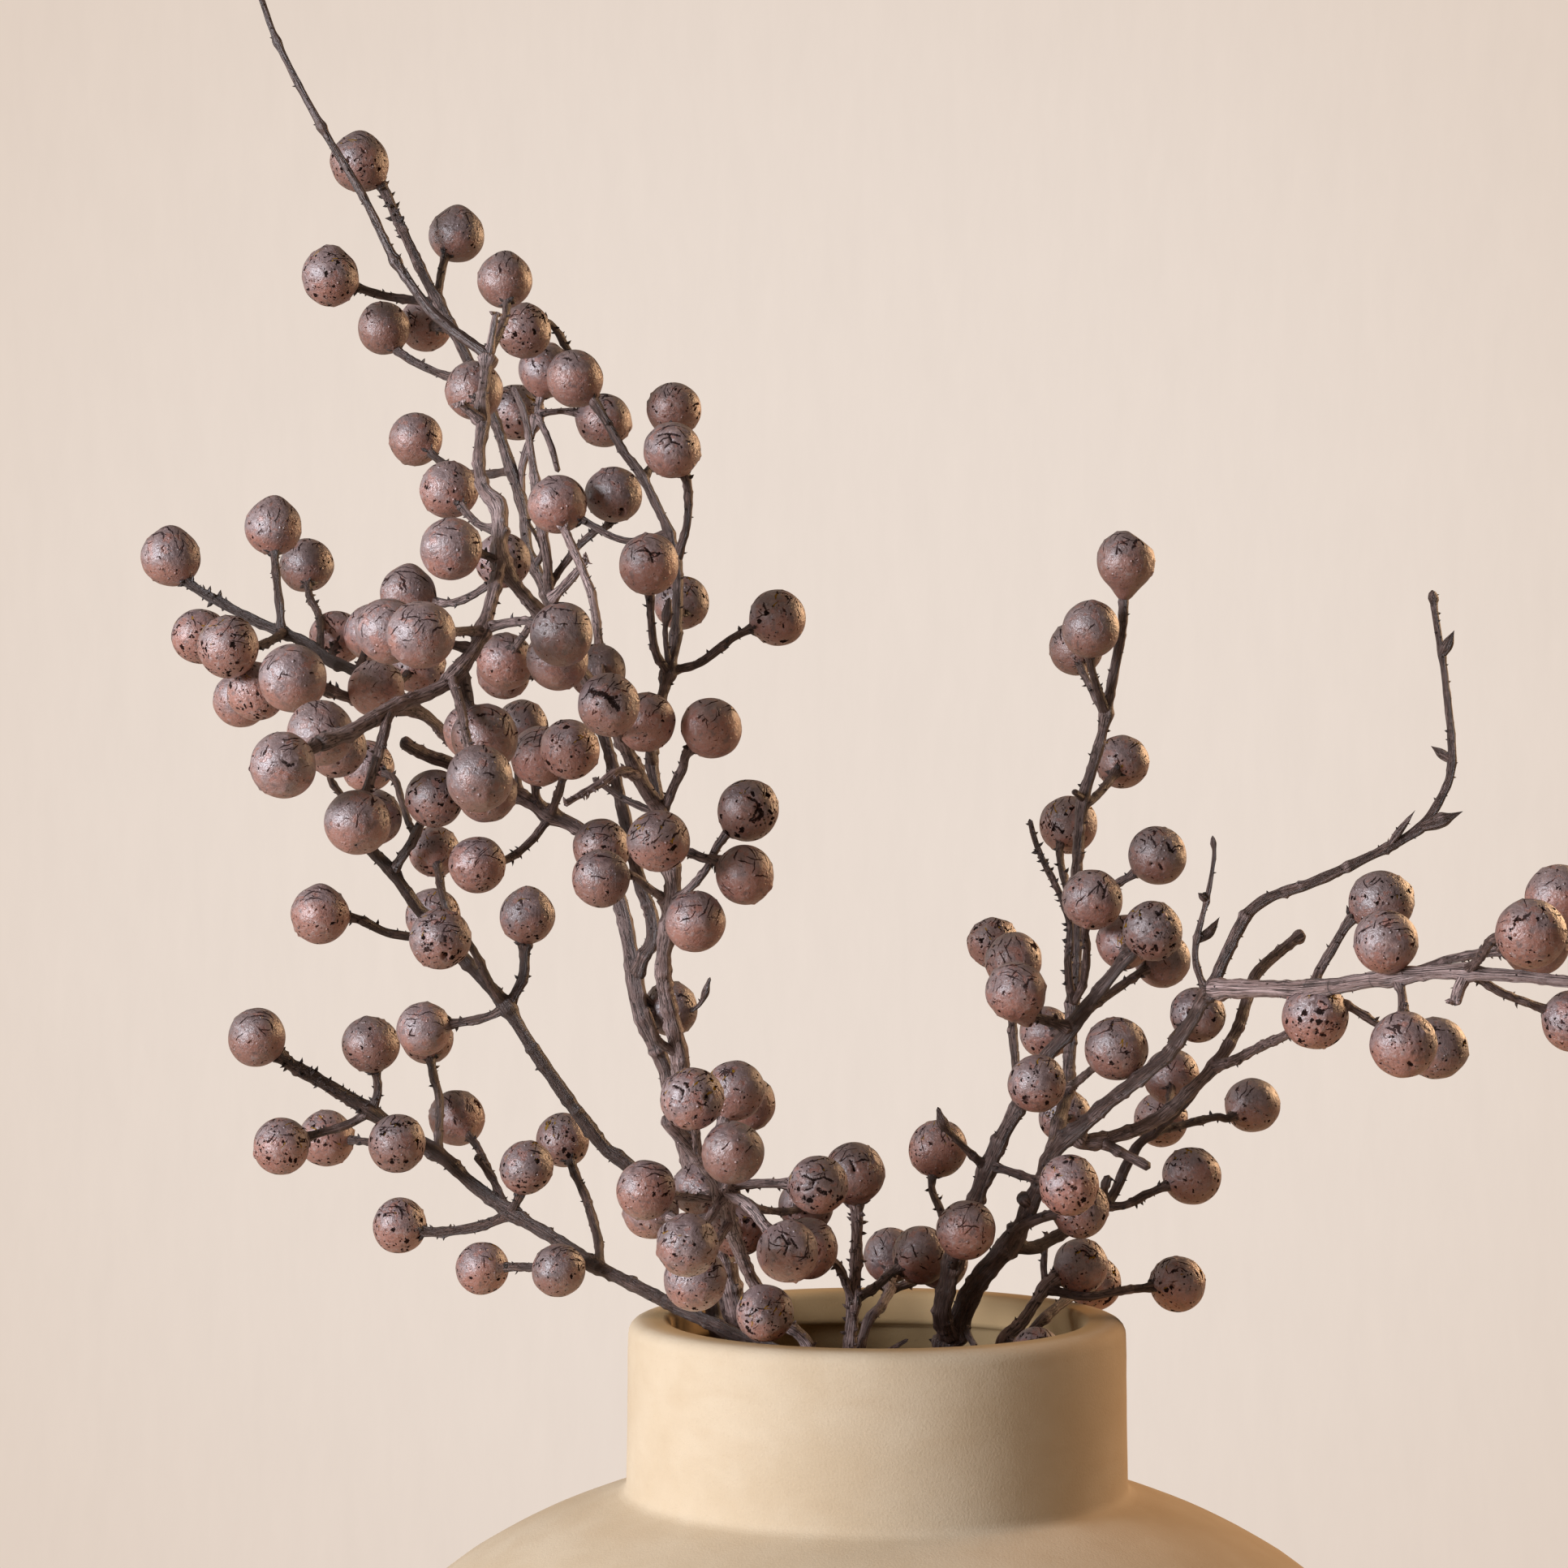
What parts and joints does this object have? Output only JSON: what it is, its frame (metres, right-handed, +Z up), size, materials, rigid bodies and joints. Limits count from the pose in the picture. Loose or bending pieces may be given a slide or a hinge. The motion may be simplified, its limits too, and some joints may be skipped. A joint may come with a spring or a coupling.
{
  "type": "vase of dried eucalyptus pods",
  "caption": "Wide stoneware vase with a short upright neck, holding loose dried branches with round woody pods at the ends of their twigs.",
  "frame": {"origin": "centre of the vase's flat base", "axes": "+Z up through the vase's neck, -Y towards the viewer of the picture, +X to the viewer's right"},
  "size_m": [0.348, 0.2794, 0.5572],
  "materials": {
    "stoneware": "matte, sand-coloured",
    "front_left_branch": "dry bark and satin mauve-brown pods",
    "back_left_branch": "dry bark and satin mauve-brown pods",
    "mid_left_branch": "dry bark and satin mauve-brown pods",
    "low_left_branch": "dry bark and satin mauve-brown pods",
    "front_cluster_branch": "dry bark and satin mauve-brown pods",
    "centre_branch": "dry bark and satin mauve-brown pods",
    "right_branch": "dry bark and satin mauve-brown pods",
    "right_low_branch": "dry bark and satin mauve-brown pods"
  },
  "bodies": {
    "root": {"vase": "stoneware", "front_left_branch": "front_left_branch", "back_left_branch": "back_left_branch", "mid_left_branch": "mid_left_branch", "low_left_branch": "low_left_branch", "front_cluster_branch": "front_cluster_branch", "centre_branch": "centre_branch", "right_branch": "right_branch", "right_low_branch": "right_low_branch"}
  },
  "joints": []
}
